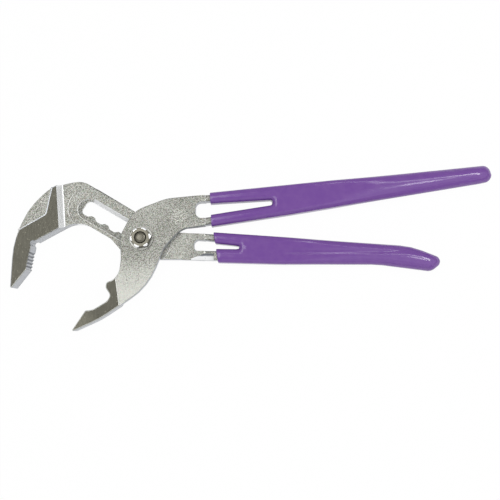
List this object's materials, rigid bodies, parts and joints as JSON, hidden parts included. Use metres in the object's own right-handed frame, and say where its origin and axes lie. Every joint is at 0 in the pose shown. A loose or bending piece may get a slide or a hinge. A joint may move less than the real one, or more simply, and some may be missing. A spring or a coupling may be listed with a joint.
{
  "type": "water pump pliers",
  "caption": "Adjustable water pump pliers with a toothed hook jaw, a hooked lower jaw, a notched slot with a pivot bolt, and forked handles in dipped vinyl grips.",
  "frame": {"origin": "on the pivot axis, at the back face of the bolt's head, which is also the plane that the pliers lie on", "axes": "+X from the jaws towards the handles, +Y towards the upper handle, +Z out of the front face along the pivot"},
  "size_m": [0.3269, 0.1134, 0.0177],
  "materials": {
    "plated_steel": "blasted and plated forging with darker ground jaw faces",
    "fastener_steel": "plated and slightly worn",
    "vinyl": "glossy purple dip"
  },
  "bodies": {
    "rear": {"rear_lever": "plated_steel", "rear_grip": "vinyl"},
    "pivot": {"pivot_bolt": "fastener_steel", "pivot_washer": "fastener_steel", "pivot_nut": "fastener_steel"},
    "front": {"front_lever": "plated_steel", "front_grip": "vinyl"}
  },
  "joints": [
    {"name": "slot_slide", "type": "slide", "parent": "rear", "child": "pivot", "axis": [-0.8625, 0.506, 0], "range_m": [0, 0.0432]},
    {"name": "jaw_hinge", "type": "hinge", "parent": "pivot", "child": "front", "pos_m": [0, 0, 0.006], "axis": [0, 0, 1], "range_deg": [-4, 30]}
  ]
}
